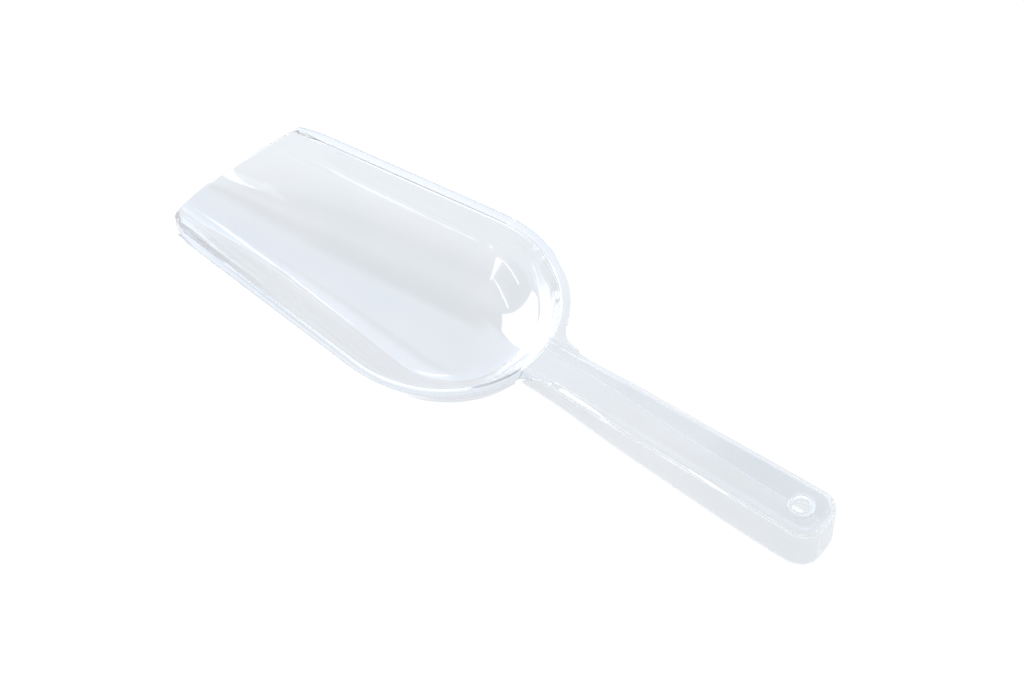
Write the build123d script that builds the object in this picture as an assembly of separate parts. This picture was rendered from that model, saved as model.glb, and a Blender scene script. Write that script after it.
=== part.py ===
from build123d import *
import math
import os

# Moulded ice scoop: a trough-shaped bowl with a flat rim flange, and a straight
# handle that is an upside-down channel, open underneath, with a hanging hole near
# its rounded end. The moulding is split into closed solids that meet face to face.
#
# Millimetres. +X runs from the mouth to the end of the handle, +Z is up, and the
# scoop is symmetric about the XZ plane. The origin is the middle of the flat
# underside of the bowl's floor, so the scoop stands on Z = 0. The rim's flat top
# and the handle's flat top are one plane.
#
# Every x in the dimensions, tables and outlines is measured from the rim's front
# corners; at() moves it to the origin.
REST_X = 34.0            # from the rim's front corners back to the origin

# ---- bowl -------------------------------------------------------------------
DEPTH = 21.6             # inside depth, rim top to floor
WALL = 1.5               # full thickness of the wall
RIM_WALL = 0.75          # the wall thins to this at the rim
RIM_SHARE = RIM_WALL / WALL
THIN_SHARE = 0.42        # full thickness from this share of the section down
RIM_Z = DEPTH + WALL     # height of the rim's top face
SIDE_SLOPE = 0.108       # the sides open towards the handle by this much per mm
BACK_X = 72.3            # start of the rounded back
BACK_LENGTH = 41.5
BACK_POWER = 2.13        # superellipse power of the rounded back
HALF_WIDTH = 34.2        # inside half width where the rounded back starts
SECTION_R = 28.0         # inside radius between side wall and floor
SIDE_DRAFT = math.radians(23.0)   # lean of the straight top part of the wall
FRONT_RUN = BACK_X + 22.0         # length ahead of the back over which the section changes
INSET_FRONT = 0.18       # share by which the wall's sweep is narrower, FRONT_RUN ahead
INSET_BACK = 0.17        # and at the middle of the rounded back
FRONT_PINCH = 3.3        # the section is slimmer part way down, by this much FRONT_RUN ahead
PINCH_LOW = 1.4          # moves that place downwards
MOUTH_SLOPE = 1.01       # the mouth runs forward this much per mm of height
FLAT_CUT = 0.06          # cut off the underside, to stand on
LOFT_X = -42.0           # the bowl is lofted from here, then cut back to the mouth
SECTIONS = 9             # level slices in the loft
INSIDE_LIFT = 3.0        # the inside is carried on this far above the rim
TANGENT_STEP = 1e-4      # step in turn angle for the tangent of the rounded back

# ---- rim flange -------------------------------------------------------------
PLATE = 1.8              # thickness of the flange and of the handle's top
SPLIT_Z = RIM_Z - PLATE  # underside of both
FLANGE_X = -6.0          # the flange is drawn from here, then cut back to the mouth
FLANGE_WIDTH = 2.9       # inside edge of the rim to the flange's outer edge
CORNER_WIDTH = 1.65      # the same, at the rim's front corners
RUN_IN = 8.0             # the flange grows to full width over this length
GUSSET_R = 9.0           # plan radius between flange and handle
GUSSET_X = (108, 122)    # range of x that holds the corners to be rounded
GUSSET_Y = (5, 14)       # and of the distance from the middle plane
SPLIT_X = 123.0          # the flange and its gussets end here, the handle's top starts

# ---- handle -----------------------------------------------------------------
HANDLE_END = 212.6
END_R = 6.3              # plan radius of the handle's end corners
# (x, half width) along the handle's top
HANDLE_SIDE = [(100.0, 7.45), (119.0, 7.6), (140.0, 8.2), (170.0, 8.6),
               (HANDLE_END - END_R, 8.95)]
START_SLOPE = 0.004      # widening of the handle per mm at its first station
BLOCK_DEPTH = 16.5       # depth of the solid block the handle is cut from
EDGE_R = 2.3             # rounding between top and skirt
SKIRT_THICK = 1.7
SKIRT_FLARE = 0.02       # outward lean of the skirt per mm of depth
HOLLOW_X = 90.0          # the channel starts here, inside the bowl
HOLLOW_EXTRA = 0.5       # the hollow reaches this far below the block
# (x, depth below the top) along the skirt's lower edge
SKIRT_LOW = [(96.0, 6.6), (118.0, 7.65), (132.0, 8.75), (146.0, 10.5), (162.0, 12.2),
             (178.0, 13.7), (194.0, 14.8), (206.0, 15.25), (220.0, 15.5)]

# ---- hanging hole -----------------------------------------------------------
HOLE_X = 203.8
HOLE_R = 2.5
BOSS_R = 3.9
BOSS_LENGTH = 3.0        # length of the hole, top face to the end of its collar

# ---- reach of the cutting blocks, clear of the scoop ------------------------
CLEAR_Y = 90.0           # to each side
BOWL_X = (-80, 140)      # around the bowl
HANDLE_X = 230           # beyond the handle's end
MARGIN = 1.0             # past the faces of the top plate


def at(x, y, z):
    """The point at x from the rim's front corners."""
    return Vector(x - REST_X, y, z)


def mirrored_face(half, z):
    """Level face inside a spline through half, (x, y) at +Y ending at y = 0, and its mirror."""
    ring = [at(x, y, z) for x, y in half] + [at(x, -y, z) for x, y in reversed(half[:-1])]
    curve = Edge.make_spline(ring)
    return Face(Wire([curve, Edge.make_line(curve @ 1, curve @ 0)]))


def side_block(points):
    """A solid from a closed (x, z) outline, reaching CLEAR_Y to each side."""
    wire = Wire.make_polygon([at(x, -CLEAR_Y, z) for x, z in points], close=True)
    return extrude(Face(wire), 2 * CLEAR_Y, dir=(0, 1, 0))


def box(x0, x1, z0, z1):
    return side_block([(x0, z0), (x1, z0), (x1, z1), (x0, z1)])


# ---- plan of the rim --------------------------------------------------------
def back_point(turn):
    """(x, y) of the rim's inside edge on the rounded back, turn from 0 to a right angle."""
    share = math.sin(turn) ** (2 / BACK_POWER)
    x = BACK_X + BACK_LENGTH * share
    y = HALF_WIDTH * max(math.cos(turn), 0.0) ** (2 / BACK_POWER)
    return x, y * (1 + SIDE_SLOPE / HALF_WIDTH * (x - BACK_X) * (1 - share))


def rim_points(first_x, side_steps, back_steps):
    """(x, y, nx, ny, turn) of the rim's inside edge at +Y, mouth to the middle of the back.

    (nx, ny) is the unit normal, pointing inwards.
    """
    slant = math.hypot(1, SIDE_SLOPE)
    points = []
    for i in range(side_steps):
        x = first_x + (BACK_X - first_x) * i / side_steps
        y = HALF_WIDTH + SIDE_SLOPE * (x - BACK_X)
        points.append((x, y, SIDE_SLOPE / slant, -1 / slant, 0.0))
    for i in range(back_steps + 1):
        turn = math.pi / 2 * i / back_steps
        x, y = back_point(turn)
        if i == 0:
            tx, ty = 1 / slant, SIDE_SLOPE / slant
        elif i == back_steps:
            tx, ty, y = 0.0, -1.0, 0.0
        else:
            xa, ya = back_point(turn - TANGENT_STEP)
            xb, yb = back_point(turn + TANGENT_STEP)
            chord = math.hypot(xb - xa, yb - ya)
            tx, ty = (xb - xa) / chord, (yb - ya) / chord
        points.append((x, y, ty, -tx, turn))
    return points


# ---- bowl surfaces ----------------------------------------------------------
def sweep_share(x, turn):
    """Share of the full wall sweep used at a place on the rim."""
    if turn > 0:
        return 1 - INSET_BACK * math.sin(turn) ** 2
    return 1 - INSET_FRONT * ((BACK_X - x) / FRONT_RUN) ** 2


def pinch(x, depth):
    """How much slimmer the section is at a place along the side, at a depth."""
    ahead = max(BACK_X - x, 0.0) / FRONT_RUN
    level = min(max(depth, 0.0), DEPTH) / DEPTH
    return FRONT_PINCH * ahead ** 2 * math.sin(math.pi * level ** PINCH_LOW)


def wall_section(share, thick):
    """(inset, depth) on the wall, thick outwards of the inside face.

    share runs from 0 at the rim to 1 at the floor.
    """
    centre_depth = DEPTH - SECTION_R
    centre_inset = (SECTION_R + centre_depth * math.sin(SIDE_DRAFT)) / math.cos(SIDE_DRAFT)
    radius = SECTION_R + thick
    angle = share * math.pi / 2
    if angle < SIDE_DRAFT:
        depth = (centre_depth + radius * math.sin(SIDE_DRAFT)) * angle / SIDE_DRAFT
        return depth * math.tan(SIDE_DRAFT) - thick / math.cos(SIDE_DRAFT), depth
    return centre_inset - radius * math.cos(angle), centre_depth + radius * math.sin(angle)


def bowl_slice(share, thick):
    """One level slice of the bowl's inside (thick 0) or outside, as a face."""
    t = min(share / THIN_SHARE, 1.0)
    blend = t * t * (3 - 2 * t)
    inset, depth = wall_section(share, thick * (RIM_SHARE + (1 - RIM_SHARE) * blend))
    rim_inset = -thick * RIM_SHARE / math.cos(SIDE_DRAFT)
    half = []
    for x, y, nx, ny, turn in rim_points(LOFT_X, side_steps=5, back_steps=12):
        move = rim_inset + (inset - rim_inset) * sweep_share(x, turn) + pinch(x, depth)
        half.append((x + nx * move, y + ny * move))
    return mirrored_face(half, RIM_Z - depth)


def bowl_solid(thick):
    """Everything within the bowl's inside (thick 0) or outside, up to the rim."""
    return loft([bowl_slice(i / (SECTIONS - 1), thick) for i in range(SECTIONS)])


def bowl_inside():
    body = bowl_solid(0.0)
    top = max(body.faces(), key=lambda face: face.center().Z)
    return body + extrude(top, INSIDE_LIFT, dir=(0, 0, 1))


def mouth_cutter():
    """Everything ahead of the sloping mouth."""
    above, below, far = 10, 60, 200.0
    return side_block([(MOUTH_SLOPE * above, RIM_Z + above), (-MOUTH_SLOPE * below, RIM_Z - below),
                       (-far, RIM_Z - below), (-far, RIM_Z + above)])


# ---- handle surfaces --------------------------------------------------------
def handle_outline(z, grow=0.0, first_x=HANDLE_SIDE[0][0]):
    """Plan outline of the handle at height z, grown outwards by grow, as a face."""
    side = [(x, y + grow) for x, y in HANDLE_SIDE]
    side[0] = (first_x, side[0][1])
    radius = END_R + grow
    end_x = HANDLE_END + grow
    centre_x, centre_y = end_x - radius, side[-1][1] - radius
    diagonal = radius * math.sqrt(0.5)
    # the rounded corner at +Y: from the side, through its middle, to the end
    corner = [side[-1], (centre_x + diagonal, centre_y + diagonal), (end_x, centre_y)]
    leave = Vector(1, START_SLOPE, 0).normalized()

    side_out = Edge.make_spline([at(x, y, z) for x, y in side], tangents=[leave, Vector(1, 0, 0)])
    arc_out = Edge.make_three_point_arc(*[at(x, y, z) for x, y in corner])
    end = Edge.make_line(at(end_x, centre_y, z), at(end_x, -centre_y, z))
    arc_back = Edge.make_three_point_arc(*[at(x, -y, z) for x, y in reversed(corner)])
    side_back = Edge.make_spline([at(x, -y, z) for x, y in reversed(side)],
                                 tangents=[Vector(-1, 0, 0), Vector(-leave.X, leave.Y, 0)])
    start = Edge.make_line(side_back @ 1, side_out @ 0)
    return Face(Wire([side_out, arc_out, end, arc_back, side_back, start]))


def flared_outline(depth, inset=0.0, first_x=HANDLE_SIDE[0][0]):
    """Outline of the flaring handle at a depth below its top, drawn in by inset."""
    return handle_outline(RIM_Z - depth, SKIRT_FLARE * depth - inset, first_x)


def make_handle_block():
    """The handle as a solid block with rounded top edges."""
    block = loft([flared_outline(BLOCK_DEPTH), flared_outline(0.0)], ruled=True)
    # all the top edges but the one across the handle's start
    top_edges = [e for e in block.edges() if abs(e.center().Z - RIM_Z) < 1e-6
                 and e.center().X + REST_X > HANDLE_SIDE[0][0] + 1]
    return fillet(top_edges, EDGE_R)


def below_skirt():
    """Everything below the skirt's lower edge."""
    bottom = RIM_Z - 40
    low = Edge.make_spline([at(x, -CLEAR_Y, RIM_Z - depth) for x, depth in SKIRT_LOW])
    start_foot = at(SKIRT_LOW[0][0], -CLEAR_Y, bottom)
    end_foot = at(SKIRT_LOW[-1][0], -CLEAR_Y, bottom)
    face = Face(Wire([low, Edge.make_line(low @ 1, end_foot),
                      Edge.make_line(end_foot, start_foot), Edge.make_line(start_foot, low @ 0)]))
    return extrude(face, 2 * CLEAR_Y, dir=(0, 1, 0))


# ---- pieces -----------------------------------------------------------------
def make_bowl_shell(outside, inside, in_front):
    return (outside - inside - in_front) & box(*BOWL_X, -5, SPLIT_Z)


def corner_nick(side):
    """Cutter that narrows the flange towards the front corner at side, +1 or -1 in Y."""
    ahead, past, outer = 8, 2, 12      # reach forward, behind the run-in and sideways
    rim_y = HALF_WIDTH - SIDE_SLOPE * BACK_X
    corner_y = rim_y + CORNER_WIDTH
    slope = (FLANGE_WIDTH - CORNER_WIDTH) / RUN_IN + SIDE_SLOPE
    back_x = RUN_IN + past
    points = [(-ahead, corner_y - ahead * SIDE_SLOPE - 0.02), (0, corner_y),
              (back_x, corner_y + slope * back_x), (back_x, rim_y + outer),
              (-ahead, rim_y + outer)]
    wire = Wire.make_polygon([at(x, side * y, SPLIT_Z - MARGIN) for x, y in points], close=True)
    return extrude(Face(wire), PLATE + 2 * MARGIN, dir=(0, 0, 1))


def make_rim_flange(outside, inside, in_front):
    """The flange with its gussets and the start of the handle's top."""
    rim = rim_points(FLANGE_X, side_steps=9, back_steps=18)
    half = [(x - nx * FLANGE_WIDTH, y - ny * FLANGE_WIDTH) for x, y, nx, ny, _ in rim]
    plan = mirrored_face(half, SPLIT_Z) + handle_outline(SPLIT_Z)
    root = [v for v in plan.vertices() if GUSSET_X[0] < v.X + REST_X < GUSSET_X[1]
            and GUSSET_Y[0] < abs(v.Y) < GUSSET_Y[1]]
    plan = fillet(root, GUSSET_R)
    plate = extrude(plan, PLATE, dir=(0, 0, 1))
    plate = plate + ((outside - inside) & box(*BOWL_X, SPLIT_Z, RIM_Z))
    plate = plate - inside - in_front
    for side in (1, -1):
        plate = plate - corner_nick(side)
    return plate & box(BOWL_X[0], SPLIT_X, SPLIT_Z - MARGIN, RIM_Z + MARGIN)


def make_handle_top(handle_block):
    hole = Pos(HOLE_X - REST_X, 0, RIM_Z) * Cylinder(HOLE_R, 4 * BOSS_LENGTH)
    return (handle_block & box(SPLIT_X, HANDLE_X, SPLIT_Z, RIM_Z + MARGIN)) - hole


def make_handle_skirt(handle_block, outside):
    hollow = loft([flared_outline(BLOCK_DEPTH + HOLLOW_EXTRA, SKIRT_THICK, HOLLOW_X),
                   flared_outline(PLATE, SKIRT_THICK, HOLLOW_X)], ruled=True)
    skirt = handle_block & box(HOLLOW_X, HANDLE_X, -30, SPLIT_Z)
    return skirt - hollow - below_skirt() - outside


def make_hang_hole_boss():
    """Collar around the hole, under the handle's top."""
    collar = BOSS_LENGTH - PLATE
    ring = Cylinder(BOSS_R, collar) - Cylinder(HOLE_R, 2 * collar)
    return Pos(HOLE_X - REST_X, 0, SPLIT_Z - collar / 2) * ring


inside = bowl_inside()
outside = bowl_solid(WALL + FLAT_CUT) & box(*BOWL_X, 0, RIM_Z)
in_front = mouth_cutter()
handle_block = make_handle_block()

parts = {
    "bowl_shell": make_bowl_shell(outside, inside, in_front),
    "rim_flange": make_rim_flange(outside, inside, in_front),
    "handle_top": make_handle_top(handle_block),
    "handle_skirt": make_handle_skirt(handle_block, outside),
    "hang_hole_boss": make_hang_hole_boss(),
}

os.makedirs("parts", exist_ok=True)
for name, part in parts.items():
    solids = part.solids()
    shape = Compound(children=list(solids)) if len(solids) > 1 else solids[0]
    export_step(shape, "parts/" + name + ".step")
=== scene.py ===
"""A clear plastic scoop: an open bowl with a rim flange, and a skirted handle with a hanging hole.

It is modelled in millimetres in its own frame: x runs from the rim's front corners (0) to the
handle's end, y is across and mirrored about 0, z is height above the rim's top face, so all of
the scoop lies at or below z = 0. The mouth faces -x. put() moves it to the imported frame.
"""
import math

import bmesh
import bpy
import numpy as np
from mathutils import Matrix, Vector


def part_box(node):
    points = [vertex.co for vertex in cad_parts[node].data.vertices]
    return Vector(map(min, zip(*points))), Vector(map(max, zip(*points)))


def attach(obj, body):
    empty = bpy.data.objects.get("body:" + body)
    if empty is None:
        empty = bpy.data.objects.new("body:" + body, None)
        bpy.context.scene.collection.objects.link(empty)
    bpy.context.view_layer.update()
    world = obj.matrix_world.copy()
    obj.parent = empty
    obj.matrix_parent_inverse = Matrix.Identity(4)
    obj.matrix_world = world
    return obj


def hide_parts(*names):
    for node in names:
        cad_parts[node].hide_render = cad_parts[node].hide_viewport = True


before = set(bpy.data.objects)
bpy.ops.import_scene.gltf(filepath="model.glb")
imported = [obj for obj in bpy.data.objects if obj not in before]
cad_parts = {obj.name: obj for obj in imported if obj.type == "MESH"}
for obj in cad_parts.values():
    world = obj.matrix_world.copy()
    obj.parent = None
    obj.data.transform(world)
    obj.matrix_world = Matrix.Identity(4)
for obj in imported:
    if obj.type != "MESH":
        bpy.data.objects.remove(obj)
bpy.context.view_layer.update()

# ============================================================================
# Measures, millimetres
# ============================================================================
M_TO_MM = 1000.0
QUARTER = math.pi / 2
HOLE_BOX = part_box("hang_hole_boss")
TOP_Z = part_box("rim_flange")[1].z * M_TO_MM                  # rim's top above the ground
PLATE = TOP_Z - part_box("handle_skirt")[1].z * M_TO_MM        # thickness of the handle's top
HANDLE_END = 212.6
SHIFT_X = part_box("handle_top")[1].x * M_TO_MM - HANDLE_END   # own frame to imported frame

# Bowl: straight flaring sides, then a rounded back
DEPTH = 21.6
FLOOR_THICK = TOP_Z - DEPTH
SIDE_SLOPE = 0.108            # the half width grows this much per mm of x
BACK_X = 72.3                 # where the rounded back starts
BACK_LENGTH = 41.5
HALF_WIDTH = 34.2             # of the rim's inside edge, at BACK_X
BACK_POWER = 2.13             # superellipse power of the back's outline
FLOOR_LENGTH = BACK_X + 22.0  # from the floor's front to BACK_X, for the blends below
SIDE_NORMAL = np.array([SIDE_SLOPE, -1.0]) / math.hypot(1, SIDE_SLOPE)

# Wall section: a straight drafted top, then an arc down to the floor
SECTION_R = 28.0
SIDE_DRAFT = math.radians(23.0)
INSET_FRONT, INSET_BACK = 0.18, 0.17   # share of the section's inward reach lost at each end
RIM_WALL = 0.75               # the wall thins towards the rim
THIN_SHARE = 0.42             # full thickness from this far down the section
FRONT_PINCH = 3.3             # the section is slimmer part way down, at the mouth
PINCH_LOW = 1.4               # moves that place downwards
MOUTH_SLOPE = 1.01            # the mouth's edge moves this far forward per mm of depth

# Rim flange
FLANGE_THICK = PLATE - 0.04
FLANGE_WIDTH = 2.9
CORNER_WIDTH = 1.65           # width at the front corners
RUN_IN = 8.0                  # length over which it reaches its full width
GUSSET_R = 9.0                # fillet in plan between flange and handle

# Handle
HANDLE_SIDE = [               # (x, half width)
    (100.0, 7.45), (119.0, 7.6), (140.0, 8.2), (170.0, 8.6), (206.3, 8.95)]
SKIRT_LOW = [                 # (x, depth of the skirt's lower edge)
    (96.0, 6.6), (118.0, 7.65), (132.0, 8.75), (146.0, 10.5), (162.0, 12.2),
    (178.0, 13.7), (194.0, 14.8), (206.0, 15.25), (220.0, 15.5)]
HANDLE_FIRST = 114.05         # the handle starts here, inside the bowl's back wall
FIRST_LEAN = 0.352            # its first section lies this much further forward per mm of depth
END_R = 6.3                   # end corners, in plan
SKIRT_THICK = 1.7
SKIRT_FLARE = 0.02            # outwards per mm of depth
EDGE_R = 2.3                  # long edges of the top
EDGE_R_FIRST = 0.35           # the same, next to the bowl

# Hole and the boss around it
HOLE_X = (HOLE_BOX[0].x + HOLE_BOX[1].x) * (M_TO_MM / 2) - SHIFT_X
HOLE_R = 2.5
BOSS_R = (HOLE_BOX[1].y - HOLE_BOX[0].y) * (M_TO_MM / 2)
BOSS_LOW = -(TOP_Z - HOLE_BOX[0].z * M_TO_MM)
HOLE_TOP_EDGE = 0.3           # rounding of the hole's upper edge
HOLE_LOW_EDGE = 0.25          # and of its lower edge
DISH_DEPTH = 0.16             # shallow round dish about the hole, in the top face
DISH_R = BOSS_R - 0.1
DISH_EDGE = [                 # (offset from DISH_R, height), going down into the dish
    (0.5, 1.0), (0.22, 0.2), (0.12, 0.0), (0.02, -0.03), (-0.08, -0.07), (-0.18, -0.12),
    (-0.32, -DISH_DEPTH)]

# Small roundings
RIM_EDGE = 0.45               # rim's inside edge
FLANGE_EDGE = 0.32            # flange's outer edges
FLANGE_FOOT = 0.5             # fillet between flange and bowl, underneath
LIP_EDGE = 0.28               # mouth's edge
SKIRT_EDGE = 0.55             # skirt's lower edge
SKIRT_ROOT = 0.8              # fillet inside the handle, between skirt and top
BOSS_EDGE = 0.3               # boss's lower edge

# Segment counts
ARC = 6                       # in a small rounding
HANDLE_ARC = 10               # in the handle section's roundings
IN_STEPS, OUT_STEPS = 34, 30  # down the bowl's inside and outside
LIP_STEPS = 4
SIDE_STEPS = 44
BACK_STEPS = 84
GUSSET_STEPS = 30             # of the back's steps, those beside the gusset
FLOOR_STEPS = 6


# ============================================================================
# Curves
# ============================================================================
def put(points):
    """Millimetres in the scoop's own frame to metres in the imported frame."""
    return (np.asarray(points, float) + np.array([SHIFT_X, 0.0, TOP_Z])) * 0.001


def clamped_spline(knots, start_slope, end_slope):
    """A smooth cubic through the knots, with given slopes at its ends."""
    xs, ys = np.array(knots, float).T
    n, h = len(xs), np.diff(xs)
    system, target = np.zeros((n, n)), np.zeros(n)
    system[0, 0], target[0] = 1, start_slope
    system[-1, -1], target[-1] = 1, end_slope
    for i in range(1, n - 1):
        system[i, i - 1] = 1 / h[i - 1]
        system[i, i] = 2 * (1 / h[i - 1] + 1 / h[i])
        system[i, i + 1] = 1 / h[i]
        target[i] = 3 * ((ys[i] - ys[i - 1]) / h[i - 1] ** 2 + (ys[i + 1] - ys[i]) / h[i] ** 2)
    slopes = np.linalg.solve(system, target)

    def value(x):
        i = int(np.clip(np.searchsorted(xs, x) - 1, 0, n - 2))
        t = (x - xs[i]) / h[i]
        y = ((1 + 2 * t) * (1 - t) ** 2 * ys[i] + t * (1 - t) ** 2 * h[i] * slopes[i]
             + t * t * (3 - 2 * t) * ys[i + 1] + t * t * (t - 1) * h[i] * slopes[i + 1])
        return float(y)
    return value


handle_half = clamped_spline(HANDLE_SIDE, start_slope=0.004, end_slope=0.0)
skirt_depth = clamped_spline(SKIRT_LOW, start_slope=0.04, end_slope=0.015)


def smooth(start, end, x):
    """Smooth step from 0 at start to 1 at end."""
    t = min(max((x - start) / (end - start), 0.0), 1.0)
    return t * t * (3 - 2 * t)


def rounded(points, radii, segs=ARC):
    """An open 2-D polyline with its corners rounded; a radius of None keeps the plain point."""
    out = []
    for i, (point, r) in enumerate(zip(points, radii)):
        corner = np.array(point, float)
        if r is None:
            out.append(corner)
            continue
        u = np.array(points[i - 1], float) - corner
        v = np.array(points[i + 1], float) - corner
        u, v = u / np.linalg.norm(u), v / np.linalg.norm(v)
        half = math.acos(max(-1.0, min(1.0, float(u @ v)))) / 2
        reach = r / math.tan(half)
        middle = (u + v) / np.linalg.norm(u + v)
        centre = corner + middle * (r / math.sin(half))
        start, end = corner + u * reach - centre, corner + v * reach - centre
        total = math.acos(max(-1.0, min(1.0, float(start @ end) / (r * r))))
        for k in range(segs + 1):
            t = k / segs
            spoke = start * math.sin((1 - t) * total) + end * math.sin(t * total)
            out.append(centre + spoke / math.sin(total))
    return np.array(out)


def inset_line(line, amount):
    """The open 2-D polyline moved to its left-hand side by amount."""
    if amount == 0:
        return line
    seg = np.diff(line, axis=0)
    seg /= np.linalg.norm(seg, axis=1)[:, None]
    normals = np.stack([-seg[:, 1], seg[:, 0]], 1)
    before = np.vstack([normals[:1], normals])
    after = np.vstack([normals, normals[-1:]])
    both = before + after
    both /= np.linalg.norm(both, axis=1)[:, None]
    scale = 1.0 / np.clip((both * before).sum(1), 0.5, 1.0)
    return line + both * (scale * amount)[:, None]


def section_row(profile, point, normal):
    """A profile of (inward offset, height) stood up at a plan point, along its inward normal."""
    return np.column_stack([point + normal * profile[:, :1], profile[:, 1]])


# ============================================================================
# Bowl section: f runs from 0 at the rim to 1 at the floor
# ============================================================================
DRAFT_END = SIDE_DRAFT / QUARTER       # f where the straight top meets the arc
F_IN = [1 - (1 - DRAFT_END) * i / IN_STEPS for i in range(IN_STEPS + 1)]
F_OUT = [DRAFT_END + (1 - DRAFT_END) * i / OUT_STEPS for i in range(OUT_STEPS + 1)]
RIM_OUT = -RIM_WALL / math.cos(SIDE_DRAFT)   # offset of the wall's outside, at the rim

# the profile's points along the flange's outer edge: its two roundings, after the rim's one
EDGE_FIRST = len(F_IN) + ARC + 1
FLANGE_RIM = slice(EDGE_FIRST, EDGE_FIRST + 2 * (ARC + 1))


def inner_section(f):
    """The inside of the wall, (offset inwards from the rim's inside edge, depth)."""
    low = DEPTH - SECTION_R
    middle = (SECTION_R + low * math.sin(SIDE_DRAFT)) / math.cos(SIDE_DRAFT)
    angle = f * math.pi / 2
    if angle < SIDE_DRAFT:
        depth = (low + SECTION_R * math.sin(SIDE_DRAFT)) * angle / SIDE_DRAFT
        return depth * math.tan(SIDE_DRAFT), depth
    return middle - SECTION_R * math.cos(angle), low + SECTION_R * math.sin(angle)


def outer_section(f):
    """The outside of the wall, as inner_section."""
    offset, depth = inner_section(f)
    after, before = inner_section(min(f + 0.01, 1.0)), inner_section(max(f - 0.01, 0.0))
    thick = RIM_WALL + (FLOOR_THICK - RIM_WALL) * smooth(0.0, THIN_SHARE, f)
    d_offset, d_depth = after[0] - before[0], after[1] - before[1]
    length = math.hypot(d_offset, d_depth)
    return offset - thick * d_depth / length, depth + thick * d_offset / length


def pinched(amount, depth):
    return amount * math.sin(math.pi * (min(max(depth, 0.0), DEPTH) / DEPTH) ** PINCH_LOW)


def bowl_profile(share, width, shrink=0.0, pinch=0.0):
    """(offset inwards from the rim's inside edge, height), from the floor's inside, over the
    rim and flange, to the floor's underside."""
    points, radii = [], []
    for f in F_IN:
        offset, depth = inner_section(f)
        points.append((offset * share + pinched(pinch, depth), -depth))
        radii.append(None)
    foot = (RIM_OUT + (FLANGE_THICK * math.tan(SIDE_DRAFT)) * share
            + pinched(pinch, FLANGE_THICK) - 0.05)
    points += [(0.0, 0.0), (-width, 0.0), (-width, -FLANGE_THICK), (foot, -FLANGE_THICK)]
    radii += [RIM_EDGE, FLANGE_EDGE, FLANGE_EDGE, FLANGE_FOOT]
    for f in F_OUT:
        offset, depth = outer_section(f)
        points.append((RIM_OUT + (offset - RIM_OUT) * share + pinched(pinch, depth), -depth))
        radii.append(None)
    return inset_line(rounded(points, radii), shrink)


# ============================================================================
# Bowl in plan
# ============================================================================
def side_profile(x, shrink=0.0):
    """The bowl's profile at x along its straight sides."""
    share = 1 - INSET_FRONT * ((BACK_X - x) / FLOOR_LENGTH) ** 2
    width = CORNER_WIDTH + (FLANGE_WIDTH - CORNER_WIDTH) * smooth(-1.5, RUN_IN + 1.5, x)
    pinch = FRONT_PINCH * (max(BACK_X - x, 0.0) / FLOOR_LENGTH) ** 2
    return bowl_profile(share, width, shrink, pinch)


def mouth_stations(reach, shrink):
    """For each profile point, the x along the rim whose section meets the plane that lies
    reach behind the mouth."""
    base = bowl_profile(1.0, FLANGE_WIDTH, shrink)
    plane_x = MOUTH_SLOPE * base[:, 1] + reach * math.sqrt(1 + MOUTH_SLOPE ** 2)
    stations = plane_x.copy()
    profiles = {}   # stations that agree to five decimals share a profile
    for k in range(len(base)):
        for _ in range(6):
            key = round(stations[k], 5)
            if key not in profiles:
                profiles[key] = side_profile(stations[k], shrink)
            stations[k] = plane_x[k] - SIDE_NORMAL[0] * profiles[key][k, 0]
    return stations


def side_row(stations, shrink=0.0):
    """One row of the skin along the side, each point from its own station's section."""
    row = np.zeros((len(stations), 3))
    for k, x in enumerate(stations):
        offset, z = side_profile(x, shrink)[k]
        rim = np.array([x, HALF_WIDTH + SIDE_SLOPE * (x - BACK_X)])
        row[k, :2] = rim + SIDE_NORMAL * offset
        row[k, 2] = z
    return row


def back_curve(turn):
    """The rim's inside edge round the back; turn is 0 at BACK_X and a right angle at y = 0."""
    u = math.sin(turn) ** (2 / BACK_POWER)
    x = BACK_X + BACK_LENGTH * u
    y = HALF_WIDTH * math.cos(turn) ** (2 / BACK_POWER)
    return x, y * (1 + SIDE_SLOPE / HALF_WIDTH * (x - BACK_X) * (1 - u))


def back_frame(turn):
    """Point and inward normal on back_curve."""
    x, y = back_curve(turn)
    if turn < 1e-6:
        return np.array([x, y]), SIDE_NORMAL
    if turn > QUARTER - 1e-6:
        return np.array([x, 0.0]), np.array([-1.0, 0.0])
    before, after = back_curve(turn - 1e-4), back_curve(min(turn + 1e-4, QUARTER))
    along = np.array([after[0] - before[0], after[1] - before[1]])
    along /= np.linalg.norm(along)
    return np.array([x, y]), np.array([along[1], -along[0]])


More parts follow.
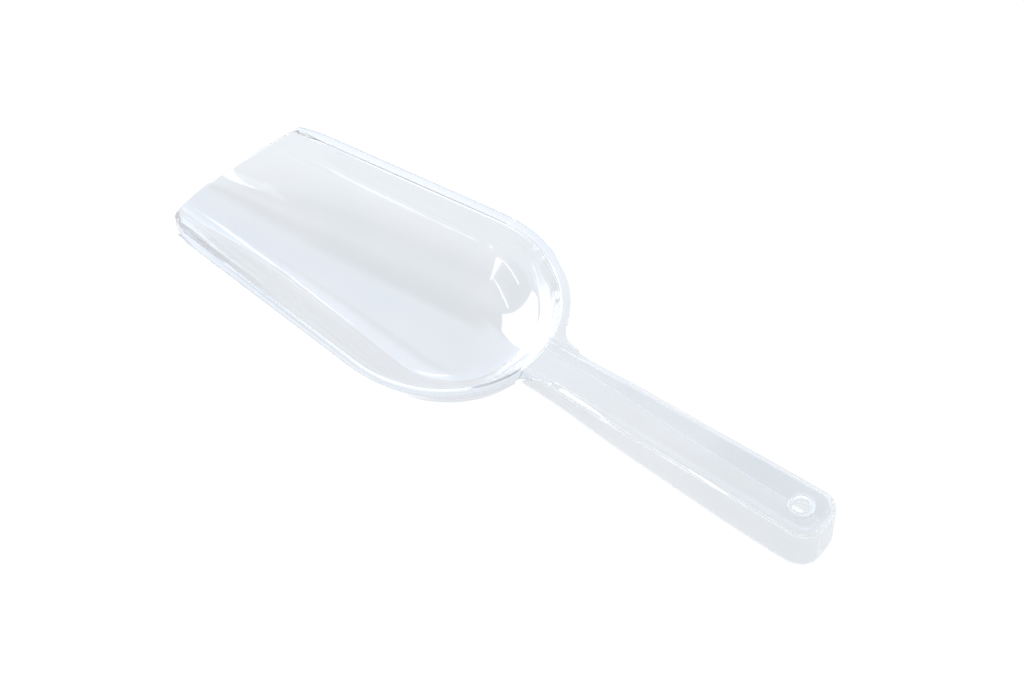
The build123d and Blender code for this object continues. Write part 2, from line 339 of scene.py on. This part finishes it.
def gusset_path():
    """The flange's outer edge where it leaves the back and runs into the handle.

    Returns the turn where it starts, its points and their normals."""
    overlap = 0.05   # the fillet ends this far inside the handle's side

    def fillet_centre(turn):
        point, normal = back_frame(turn)
        return point - normal * (FLANGE_WIDTH + GUSSET_R)

    low, high = 0.6, QUARTER - 1e-3
    for _ in range(60):
        turn = (low + high) / 2
        centre = fillet_centre(turn)
        if centre[1] - (handle_half(centre[0]) + GUSSET_R - overlap) > 0:
            low = turn
        else:
            high = turn
    turn = (low + high) / 2
    point, normal = back_frame(turn)
    centre = fillet_centre(turn)
    start = point - normal * FLANGE_WIDTH
    first = math.atan2(start[1] - centre[1], start[0] - centre[0])
    last = -QUARTER
    points, normals = [], []
    arc_steps = 30
    for i in range(arc_steps + 1):
        angle = first + (last - first) * i / arc_steps
        spoke = np.array([math.cos(angle), math.sin(angle)])
        points.append(centre + spoke * GUSSET_R)
        normals.append(spoke)
    # past the fillet the edge goes on inside the handle, to the middle
    end_x, end_y = points[-1]
    for x, y, facing in ((end_x + 0.9, end_y - 0.8, (-0.7071, -0.7071)),
                         (end_x + 1.4, end_y - 2.4, (-1.0, 0.0)),
                         (end_x + 1.4, 0.0, (-1.0, 0.0))):
        points.append(np.array([x, y]))
        normals.append(np.array(facing))
    points, normals = np.array(points), np.array(normals)
    run = np.r_[0, np.cumsum(np.linalg.norm(np.diff(points, axis=0), axis=1))]
    arc_length = run[arc_steps]
    on_arc = int(GUSSET_STEPS * 0.72)
    wanted = np.r_[np.linspace(0, arc_length, on_arc + 1),
                   np.linspace(arc_length, run[-1], GUSSET_STEPS - on_arc + 1)[1:]]
    points = np.stack([np.interp(wanted, run, column) for column in points.T], 1)
    normals = np.stack([np.interp(wanted, run, column) for column in normals.T], 1)
    normals /= np.linalg.norm(normals, axis=1)[:, None]
    return turn, points, normals


def back_rows():
    """The skin's rows round the back; beside the gusset the flange's edge follows its path."""
    gusset_turn, path, path_normals = gusset_path()
    plain_steps = BACK_STEPS - GUSSET_STEPS
    turns = np.r_[np.linspace(0, gusset_turn, plain_steps + 1),
                  np.linspace(gusset_turn, QUARTER, GUSSET_STEPS + 1)[1:]]
    rows = []
    for j, turn in enumerate(turns):
        profile = bowl_profile(1 - INSET_BACK * math.sin(turn) ** 2, FLANGE_WIDTH)
        row = section_row(profile, *back_frame(turn))
        i = j - plain_steps
        if i > 0:
            edge_offset = profile[FLANGE_RIM, :1] + FLANGE_WIDTH
            row[FLANGE_RIM, :2] = path[i] + path_normals[i] * edge_offset
        rows.append(row)
    rows[-1][:, 1] = 0.0
    return rows


# ============================================================================
# Bodies, as (vertices, faces)
# ============================================================================
def mirrored_grid(grid):
    """The grid at +y and its mirror image; also returns the index arrays of both."""
    n, m = grid.shape[:2]
    verts = grid.reshape(-1, 3).tolist() + (grid * (1, -1, 1)).reshape(-1, 3).tolist()
    a = np.arange(n * m).reshape(n, m)
    b = a + n * m
    faces = []
    for i in range(n - 1):
        for k in range(m - 1):
            faces.append((a[i, k], a[i + 1, k], a[i + 1, k + 1], a[i, k + 1]))
            faces.append((b[i, k], b[i, k + 1], b[i + 1, k + 1], b[i + 1, k]))
    return verts, faces, a, b


def make_bowl():
    """Bowl, rim flange and the gussets that run into the handle: one closed skin."""
    rows = []
    for j in range(LIP_STEPS + 1):
        angle = QUARTER * (1 - j / LIP_STEPS)
        shrink = LIP_EDGE * (1 - math.cos(angle))
        stations = mouth_stations(LIP_EDGE * (1 - math.sin(angle)), shrink)
        rows.append(side_row(stations, shrink))
    # from the lip's last row the stations slide back to BACK_X, closer together near it
    for j in range(1, SIDE_STEPS):
        g = j / SIDE_STEPS
        g = g * (1 + 0.25 * (1 - g))
        rows.append(side_row(stations + (BACK_X - stations) * g))
    grid = np.array(rows + back_rows())
    verts, faces, a, b = mirrored_grid(grid)

    def floor_ladder(column, up):
        """A flat floor between the two sides; returns its front vertices."""
        ladder = [a[:, column]]
        for m in range(1, FLOOR_STEPS):
            points = grid[:, column].copy()
            points[:, 1] *= 1 - 2 * (m / FLOOR_STEPS)
            ladder.append(np.arange(len(points)) + len(verts))
            verts.extend(points.tolist())
        ladder.append(b[:, column])
        for p, q in zip(ladder[:-1], ladder[1:]):
            for i in range(len(p) - 1):
                face = (p[i], q[i], q[i + 1], p[i + 1])
                faces.append(face if up else face[::-1])
        return [rung[0] for rung in ladder]

    inner = floor_ladder(0, up=True)
    outer = floor_ladder(grid.shape[1] - 1, up=False)
    # the mouth's edge face
    faces.append(tuple(list(a[0, :]) + outer[1:-1] + list(b[0, ::-1]) + inner[::-1][1:-1]))
    return verts, faces


def handle_profile(x):
    """(offset inwards from the handle's side, height): top, edge, skirt, and back underneath."""
    # the edge's rounding is flatter in its middle, so it shows as a band between top and skirt
    edge = (EDGE_R_FIRST + (EDGE_R - EDGE_R_FIRST) * smooth(116.5, 126.5, x)) * 0.92
    low = skirt_depth(x)
    points = [(3.3, 0.0), (edge, 0.0), (0.42 * edge, -0.42 * edge),
              (-SKIRT_FLARE * edge, -edge), (-SKIRT_FLARE * low, -low),
              (SKIRT_THICK - SKIRT_FLARE * low, -low),
              (SKIRT_THICK - SKIRT_FLARE * PLATE, -PLATE), (3.4, -PLATE)]
    radii = [None, 0.55 * edge, 2.2 * edge, 0.55 * edge, SKIRT_EDGE, SKIRT_EDGE, SKIRT_ROOT, None]
    line = rounded(points, radii, HANDLE_ARC)
    # more points down the skirt's two faces, so that its long faces stay even
    out = [line[0]]
    for start, end in zip(line[:-1], line[1:]):
        if abs(end[1] - start[1]) > 2.6:
            out += [start + (end - start) * t for t in np.linspace(0, 1, 6)[1:-1]]
        out.append(end)
    return np.array(out)


def make_handle():
    """Top plate, rounded edges and the skirt down its sides and end."""
    rows = []
    corner_x, corner_y = HANDLE_END - END_R, HANDLE_SIDE[-1][1] - END_R
    for x in np.r_[np.linspace(HANDLE_FIRST, 132.0, 40), np.linspace(132.0, corner_x, 60)[1:]]:
        slope = (handle_half(x + 0.01) - handle_half(x - 0.01)) / 0.02
        normal = np.array([slope, -1.0]) / math.hypot(1, slope)
        rows.append(section_row(handle_profile(x), np.array([x, handle_half(x)]), normal))
    rows[0][:, 0] = HANDLE_FIRST + FIRST_LEAN * rows[0][:, 2]
    corner_steps = 18
    for j in range(1, corner_steps + 1):
        angle = QUARTER * (1 - j / corner_steps)
        spoke = np.array([math.cos(angle), math.sin(angle)])
        profile = handle_profile(corner_x + END_R * spoke[0])
        point = np.array([corner_x, corner_y]) + spoke * END_R
        rows.append(section_row(profile, point, -spoke))
    for y in (corner_y * 2 / 3, corner_y / 3, 0.0):
        rows.append(section_row(handle_profile(HANDLE_END), np.array([HANDLE_END, y]),
                                np.array([-1.0, 0.0])))
    verts, faces, a, b = mirrored_grid(np.array(rows))
    faces = [face[::-1] for face in faces]
    # caps: top, underside and the front end
    faces.append(tuple(list(a[:, 0]) + list(b[::-1, 0])[1:]))
    faces.append(tuple(list(b[:, -1]) + list(a[::-1, -1])[1:]))
    faces.append(tuple(list(b[0, :]) + list(a[0, ::-1])))
    return verts, faces


def make_lathe(profile, x, segs=72):
    """A closed body turned about the vertical line at x. The profile of (radius, height) is a
    closed loop, or reaches the axis at both ends."""
    verts, faces, rings = [], [], []
    for r, z in profile:
        if r == 0:
            rings.append([len(verts)])
            verts.append([x, 0.0, z])
            continue
        rings.append(list(range(len(verts), len(verts) + segs)))
        for s in range(segs):
            angle = 2 * math.pi * (s + 0.5) / segs
            verts.append([x + r * math.cos(angle), r * math.sin(angle), z])
    pairs = list(zip(rings[:-1], rings[1:]))
    if profile[0][0] != 0:
        pairs.append((rings[-1], rings[0]))
    for p, q in pairs:
        for s in range(segs):
            t = (s + 1) % segs
            if len(p) == 1:
                faces.append((p[0], q[s], q[t]))
            elif len(q) == 1:
                faces.append((p[s], q[0], p[t]))
            else:
                faces.append((p[s], q[s], q[t], p[t]))
    return verts, faces


def make_boss():
    """A collar under the handle's top, bored smaller than the hole."""
    core_r, top = HOLE_R - 0.8, -1.2
    profile = rounded([(core_r, top), (core_r, BOSS_LOW), (BOSS_R - 0.05, BOSS_LOW),
                       (BOSS_R, -PLATE), (BOSS_R, top)],
                      [None, None, BOSS_EDGE, None, None])
    return make_lathe(profile, HOLE_X)


def make_bore():
    """What is cut away: the dish in the top, the hole and its rounded edges."""
    angles = np.linspace(0, QUARTER, 6)
    profile = [(0.0, 1.0)]
    profile += [(DISH_R + offset, z) for offset, z in DISH_EDGE]
    profile += [(HOLE_R + HOLE_TOP_EDGE * (1 - math.sin(t)),
                 -DISH_DEPTH - HOLE_TOP_EDGE * (1 - math.cos(t))) for t in angles]
    profile += [(HOLE_R + HOLE_LOW_EDGE * (1 - math.cos(t)),
                 BOSS_LOW + HOLE_LOW_EDGE * (1 - math.sin(t))) for t in angles]
    profile += [(HOLE_R + 0.55, BOSS_LOW - 0.3), (HOLE_R + 0.55, BOSS_LOW - 1.0),
                (0.0, BOSS_LOW - 1.0)]
    return make_lathe(profile, HOLE_X)


# ============================================================================
# Objects
# ============================================================================
def clean(mesh, merge_distance, turn_outward=False):
    """Merges doubled vertices (distance in metres) and drops degenerate faces."""
    bm = bmesh.new()
    bm.from_mesh(mesh)
    bmesh.ops.remove_doubles(bm, verts=bm.verts, dist=merge_distance)
    bmesh.ops.dissolve_degenerate(bm, edges=bm.edges, dist=1e-8)
    if turn_outward:
        bmesh.ops.recalc_face_normals(bm, faces=bm.faces)
    bm.to_mesh(mesh)
    bm.free()
    mesh.update()


def to_object(name, verts, faces):
    mesh = bpy.data.meshes.new(name)
    mesh.from_pydata([tuple(v) for v in put(verts)], [],
                     [tuple(int(i) for i in face) for face in faces])
    clean(mesh, 2e-8, turn_outward=True)
    obj = bpy.data.objects.new(name, mesh)
    bpy.context.scene.collection.objects.link(obj)
    return obj


def boolean(target, tool, operation):
    """Applies the operation to the target and removes the tool."""
    mod = target.modifiers.new("join", "BOOLEAN")
    mod.operation = operation
    mod.solver = "MANIFOLD"
    mod.object = tool
    deps = bpy.context.evaluated_depsgraph_get()
    mesh = bpy.data.meshes.new_from_object(target.evaluated_get(deps))
    target.modifiers.clear()
    old = target.data
    target.data = mesh
    bpy.data.meshes.remove(old)
    bpy.data.objects.remove(tool)


def build_scoop():
    scoop = to_object("scoop_body", *make_bowl())
    handle = to_object("handle_tool", *make_handle())
    boss = to_object("boss_tool", *make_boss())
    bore = to_object("bore_tool", *make_bore())
    boolean(scoop, handle, "UNION")
    boolean(scoop, boss, "UNION")
    boolean(scoop, bore, "DIFFERENCE")
    mesh = scoop.data
    clean(mesh, 1e-7)
    mesh.polygons.foreach_set("use_smooth", np.ones(len(mesh.polygons), bool))
    mesh.set_sharp_from_angle(angle=math.radians(32))
    mesh.update()
    weighted = scoop.modifiers.new("even_shading", "WEIGHTED_NORMAL")
    weighted.mode = "FACE_AREA"
    weighted.weight = 50
    weighted.keep_sharp = True
    return scoop


# ============================================================================
# Materials
# ============================================================================
class Graph:
    """The shader nodes of a material or world. Input values are plain values or sockets."""

    def __init__(self, owner):
        owner.use_nodes = True
        self.tree = owner.node_tree
        self.tree.nodes.clear()

    def node(self, kind, inputs=(), **settings):
        """A new node; inputs maps input names or numbers to values."""
        made = self.tree.nodes.new(kind)
        for name, value in settings.items():
            setattr(made, name, value)
        for key, value in dict(inputs).items():
            if isinstance(value, bpy.types.NodeSocket):
                self.tree.links.new(value, made.inputs[key])
            else:
                made.inputs[key].default_value = value
        return made

    def math(self, operation, *values, clamp=False):
        return self.node("ShaderNodeMath", dict(enumerate(values)),
                         operation=operation, use_clamp=clamp).outputs[0]

    def times(self, first, *others):
        for value in others:
            first = self.math("MULTIPLY", first, value)
        return first

    def plus(self, first, *others):
        for value in others:
            first = self.math("ADD", first, value)
        return first

    def ramp(self, value, start, end, low=0.0, high=1.0):
        """Smooth change from low, where value is start, to high, where it is end."""
        return self.node("ShaderNodeMapRange", {0: value, 1: start, 2: end, 3: low, 4: high},
                         interpolation_type="SMOOTHSTEP").outputs[0]

    def mix(self, factor, a, b):
        return self.node("ShaderNodeMix", {"Factor": factor, "A": a, "B": b},
                         data_type="RGBA").outputs["Result"]

    def noise(self, vector, scale, detail, roughness=0.5):
        return self.node("ShaderNodeTexNoise", {
            "Vector": vector, "Scale": scale, "Detail": detail,
            "Roughness": roughness}).outputs["Fac"]


def scratches(graph, where, angle, seed, stretch, scale, start, end):
    """Hair-fine lines: noise drawn out along a direction (degrees), kept from start to end."""
    mapping = graph.node("ShaderNodeMapping", {
        "Vector": where,
        "Rotation": (0.2 * seed, 0.1 * seed, math.radians(angle)),
        "Scale": (1.0 / stretch, 1.0, 1.0),
        "Location": (0.31 * seed, 0.17 * seed, 0.07 * seed)})
    lines = graph.noise(mapping.outputs[0], scale, detail=2.0, roughness=0.55)
    return graph.ramp(lines, start, end)


def clear_plastic():
    """Clear moulded plastic: faint grey-blue tint, slight waviness from moulding, fine
    handling scratches and worn edges, and a painted pale glow where rays are trapped inside."""
    mat = bpy.data.materials.new("clear_plastic")
    graph = Graph(mat)
    where = graph.node("ShaderNodeTexCoord").outputs["Object"]

    # tint: a little uneven
    tint = graph.mix(graph.ramp(graph.noise(where, scale=26.0, detail=1.0), 0.35, 0.65),
                     a=(0.915, 0.938, 0.955, 1.0), b=(0.945, 0.960, 0.972, 1.0))

    # roughness: smudges, patchy scratches in two directions, and wear on the edges
    smudge = graph.ramp(graph.noise(where, scale=75.0, detail=3.0, roughness=0.6),
                        0.48, 0.72, high=0.035)
    fine = graph.math(
        "MAXIMUM",
        scratches(graph, where, angle=8.0, seed=1.0, stretch=26.0, scale=2600.0,
                  start=0.70, end=0.76),
        scratches(graph, where, angle=-24.0, seed=2.0, stretch=30.0, scale=3300.0,
                  start=0.71, end=0.77))
    fine = graph.times(fine, graph.ramp(graph.noise(where, scale=45.0, detail=1.0), 0.42, 0.62))
    pointiness = graph.node("ShaderNodeNewGeometry").outputs["Pointiness"]
    wear = graph.times(graph.ramp(pointiness, 0.53, 0.62),
                       graph.ramp(graph.noise(where, scale=420.0, detail=3.0), 0.40, 0.62))
    polished = 0.018
    roughness = graph.plus(polished, smudge, graph.times(fine, 0.10), graph.times(wear, 0.09))

    # relief: broad waves, a faint fine ripple, and the scratches' own depth
    waves = graph.times(graph.noise(where, scale=62.0, detail=1.0, roughness=0.4), 1.0)
    ripple = graph.times(graph.noise(where, scale=240.0, detail=1.0), 0.04)
    relief = graph.math("SUBTRACT", graph.plus(waves, ripple), graph.times(fine, 0.012))
    bump = graph.node("ShaderNodeBump", {"Strength": 1.0, "Distance": 0.00010, "Height": relief})

    # painted glow: where a ray has been reflected inside many times, here at ray depth 11, the
    # surface itself emits an even pale glow in place of that trapped light, growing along x
    # (metres)
    depth = graph.node("ShaderNodeLightPath").outputs["Ray Depth"]
    along = graph.node("ShaderNodeSeparateXYZ", {0: where}).outputs[0]
    late = graph.times(graph.math("GREATER_THAN", depth, 10.5),
                       graph.math("LESS_THAN", depth, 11.5))
    glow = graph.times(late, graph.ramp(along, -0.025, 0.058, low=0.45, high=0.82))

    body = graph.node("ShaderNodeBsdfPrincipled", {
        "Transmission Weight": 1.0,
        "IOR": 1.585,
        "Base Color": tint,
        "Roughness": roughness,
        "Normal": bump.outputs[0],
        # painted glow: the plastic emits this pale light only where rays are trapped inside
        "Emission Color": (0.96, 0.99, 1.02, 1.0),
        "Emission Strength": glow})
    graph.node("ShaderNodeOutputMaterial", {"Surface": body.outputs[0]})
    mat.cycles.emission_sampling = "NONE"
    return mat


def pale_floor():
    """Plain white where it is seen directly, a little greyer through the plastic."""
    mat = bpy.data.materials.new("pale_floor")
    graph = Graph(mat)
    diffuse = graph.node("ShaderNodeBsdfDiffuse", {"Color": (0.18, 0.18, 0.18, 1)})
    direct = graph.node("ShaderNodeLightPath").outputs["Is Camera Ray"]
    shade = graph.mix(direct, a=(0.680, 0.692, 0.700, 1), b=(0.90, 0.90, 0.90, 1))
    glow = graph.node("ShaderNodeEmission", {"Color": shade, "Strength": 1.0})
    both = graph.node("ShaderNodeAddShader", {0: diffuse.outputs[0], 1: glow.outputs[0]})
    graph.node("ShaderNodeOutputMaterial", {"Surface": both.outputs[0]})
    return mat


# ============================================================================
# Studio: the world's light. Directions are degrees round from +x towards +y, heights are
# degrees above the horizon.
# ============================================================================
# Lobes: direction, its half width and softness; height, its half width and softness
WALL_LOBES = [(148.0, 38.0, 12.0, 18.0, 26.0, 10.0), (150.0, 25.0, 6.0, 44.0, 16.0, 6.0)]
COOL_LOBE = (148.0, 42.0, 14.0, 24.0, 32.0, 10.0)   # where mirrored light turns bluer
SIDE_LAMP = (84.0, 24.0, 6.0, 27.0, 12.0, 5.0)

# Brighter and darker patches of the room: (level, lobe)
ROOM_BASE, WALL_LEVEL = 0.85, 1.45
ROOM_PATCHES = [
    (-0.40, (-135.0, 13.0, 6.0, 18.0, 17.0, 6.0)),
    (0.30, (-111.0, 8.0, 4.0, 11.0, 14.0, 5.0)),
    (-0.30, (-111.0, 8.0, 4.0, 45.0, 8.0, 4.0)),
    (-0.35, (119.0, 9.0, 4.0, 61.0, 8.0, 3.5)),
    (-0.40, (112.0, 6.0, 4.0, 55.0, 6.0, 4.0)),
    (0.50, (-144.0, 14.0, 9.0, 56.0, 8.0, 7.5)),
    (-0.20, (0.0, 80.0, 25.0, 25.0, 60.0, 20.0)),
]
# The calmer studio for light that comes straight through: (level, lobe)
THROUGH_BASE, THROUGH_LAMPS = 0.80, 0.15
THROUGH_PATCHES = [
    (0.35, (140.0, 32.0, 10.0, 4.0, 20.0, 6.0)),
    (0.66, (119.0, 6.8, 3.0, 27.0, 13.0, 6.0)),
]
# Strip lights: (level, softness, line of (direction, height, half width))
STRIPS = [
    (2.2, 0.7, [(-106.0, 11.0, 1.1), (-105.6, 12.0, 1.1)]),
    (8.0, 0.5, [(-114.0, 20.0, 1.9), (-115.5, 28.0, 1.5), (-117.5, 34.0, 0.9),
                (-120.0, 39.0, 0.6), (-122.3, 43.0, 0.4)]),
    (7.0, 0.4, [(-122.0, 39.5, 0.4), (-129.0, 41.0, 0.6), (-142.0, 42.0, 0.7),
                (-154.0, 41.0, 0.7)]),
    (6.0, 0.4, [(-117.0, 17.0, 0.6), (-126.0, 18.0, 0.7), (-139.0, 19.0, 0.7)]),
    (4.0, 0.6, [(117.5, 25.5, 0.8), (122.0, 28.5, 1.0), (124.5, 32.0, 0.7)]),
]


class Sky(Graph):
    """World nodes that draw soft-edged patches by direction and height."""

    def __init__(self, world):
        super().__init__(world)
        coord = self.node("ShaderNodeTexCoord").outputs["Generated"]
        self.x, self.y, z = self.node("ShaderNodeSeparateXYZ", {0: coord}).outputs
        self.height = self.times(self.math("ARCSINE", z), 180 / math.pi)

    def azimuth_from(self, centre):
        """Degrees round from a direction, -180 to 180, with no jump near that direction."""
        c, s = math.cos(math.radians(centre)), math.sin(math.radians(centre))
        x = self.plus(self.times(self.x, c), self.times(self.y, s))
        y = self.plus(self.times(self.x, -s), self.times(self.y, c))
        return self.times(self.math("ARCTAN2", y, x), 180 / math.pi)

    def inside(self, value, limit, soft):
        """1 below the limit, 0 above it."""
        return self.ramp(value, limit - soft, limit + soft, 1.0, 0.0)

    def lobe(self, direction, half_width, soft_width, height, half_height, soft_height):
        across = self.math("ABSOLUTE", self.azimuth_from(direction))
        upward = self.math("ABSOLUTE", self.math("SUBTRACT", self.height, height))
        return self.times(self.inside(across, half_width, soft_width),
                          self.inside(upward, half_height, soft_height))

    def patches(self, table):
        return [self.times(self.lobe(*lobe), level) for level, lobe in table]

    def strip(self, level, soft, points):
        value = None
        for (a0, e0, w0), (a1, e1, w1) in zip(points[:-1], points[1:]):
            squeeze = math.cos(math.radians((e0 + e1) / 2))
            du, dv = (a1 - a0) * squeeze, e1 - e0
            u = self.times(self.azimuth_from(a0), squeeze)
            v = self.math("SUBTRACT", self.height, e0)
            t = self.math("MULTIPLY", self.plus(self.times(u, du), self.times(v, dv)),
                          1 / (du * du + dv * dv), clamp=True)
            x = self.math("SUBTRACT", u, self.times(t, du))
            y = self.math("SUBTRACT", v, self.times(t, dv))
            gap = self.math("SQRT", self.plus(self.times(x, x), self.times(y, y)))
            width = self.plus(w0, self.times(t, w1 - w0))
            piece = self.inside(self.math("SUBTRACT", gap, width), 0.0, soft)
            value = piece if value is None else self.math("MAXIMUM", value, piece)
        return self.times(value, level)

    def pane(self, direction, half_width, low, high, taper, soft):
        """A window that narrows with height, taper degrees on each side per degree."""
        across = self.plus(self.math("ABSOLUTE", self.azimuth_from(direction)),
                           self.times(self.math("SUBTRACT", self.height, low), taper))
        return self.times(self.inside(across, half_width, soft),
                          self.ramp(self.height, low - soft, low + soft),
                          self.inside(self.height, high, soft))


def build_studio():
    """A pale room as the surfaces mirror it; plain white to the camera and the diffuse floor."""
    world = bpy.data.worlds.new("studio")
    bpy.context.scene.world = world
    sky = Sky(world)
    wall = sky.math("MAXIMUM", *[sky.lobe(*lobe) for lobe in WALL_LOBES])
    room = sky.plus(ROOM_BASE, sky.times(wall, WALL_LEVEL), *sky.patches(ROOM_PATCHES))
    cool = sky.times(sky.lobe(*COOL_LOBE), 1.0)
    window = sky.pane(direction=-171.5, half_width=21.0, low=-4.0, high=48.0, taper=0.22,
                      soft=1.5)
    lamps = sky.plus(sky.times(window, 7.0), sky.times(sky.lobe(*SIDE_LAMP), 2.5),
                     *[sky.strip(*row) for row in STRIPS])

    rays = sky.node("ShaderNodeLightPath").outputs
    plain = sky.math("MAXIMUM", rays["Is Camera Ray"], rays["Is Diffuse Ray"])
    passed = rays["Is Transmission Ray"]
    hue = sky.mix(sky.times(cool, sky.math("SUBTRACT", 1.0, passed)),
                  a=(0.97, 0.99, 1.045, 1), b=(0.86, 0.98, 1.25, 1))
    tone = sky.mix(plain, a=hue, b=(1, 1, 1, 1))
    through = sky.plus(THROUGH_BASE, *sky.patches(THROUGH_PATCHES),
                       sky.times(lamps, THROUGH_LAMPS))
    mirrored = sky.times(sky.plus(room, lamps), sky.math("SUBTRACT", 1.0, passed))
    studio = sky.plus(mirrored, sky.times(through, passed))
    strength = sky.plus(sky.times(studio, sky.math("SUBTRACT", 1.0, plain)), plain)
    background = sky.node("ShaderNodeBackground", {"Color": tone, "Strength": strength})
    sky.node("ShaderNodeOutputWorld", {"Surface": background.outputs[0]})


# ============================================================================
# Floor and camera
# ============================================================================
def build_floor():
    half, drop = 6.0, 0.0002   # metres; the drop keeps it clear of the scoop
    mesh = bpy.data.meshes.new("floor")
    mesh.from_pydata([(-half, -half, 0), (half, -half, 0), (half, half, 0), (-half, half, 0)],
                     [], [(0, 1, 2, 3)])
    floor = bpy.data.objects.new("floor", mesh)
    floor.location = (0, 0, -drop)
    bpy.context.scene.collection.objects.link(floor)
    mesh.materials.append(pale_floor())


def build_camera():
    """Looks at a target in the scoop's own frame, from the handle's side of it and above."""
    turn = math.radians(36.699)        # round from -y towards +x
    height = math.radians(51.173)
    distance = 704.25
    target = np.array([105.073, -1.468, 0.0])
    back = np.array([math.sin(turn) * math.cos(height), -math.cos(turn) * math.cos(height),
                     math.sin(height)])
    right = np.array([math.cos(turn), math.sin(turn), 0.0])
    up = np.cross(back, right)
    data = bpy.data.cameras.new("camera")
    data.lens = 85.0
    data.sensor_width = 36.0
    data.clip_start, data.clip_end = 0.01, 50.0
    camera = bpy.data.objects.new("camera", data)
    place = put([target + back * distance])[0]
    rows = [tuple(row) for row in np.column_stack([right, up, back, place])]
    camera.matrix_world = Matrix((*rows, (0, 0, 0, 1)))
    bpy.context.scene.collection.objects.link(camera)
    bpy.context.scene.camera = camera


scoop = build_scoop()
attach(scoop, "root")
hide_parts("bowl_shell", "rim_flange", "handle_top", "handle_skirt", "hang_hole_boss")
scoop.data.materials.clear()
scoop.data.materials.append(clear_plastic())

build_floor()
build_studio()
build_camera()

scene = bpy.context.scene
scene.view_settings.view_transform = "Standard"
scene.view_settings.look = "None"
scene.cycles.max_bounces = 14
scene.cycles.transmission_bounces = 14
scene.cycles.glossy_bounces = 14
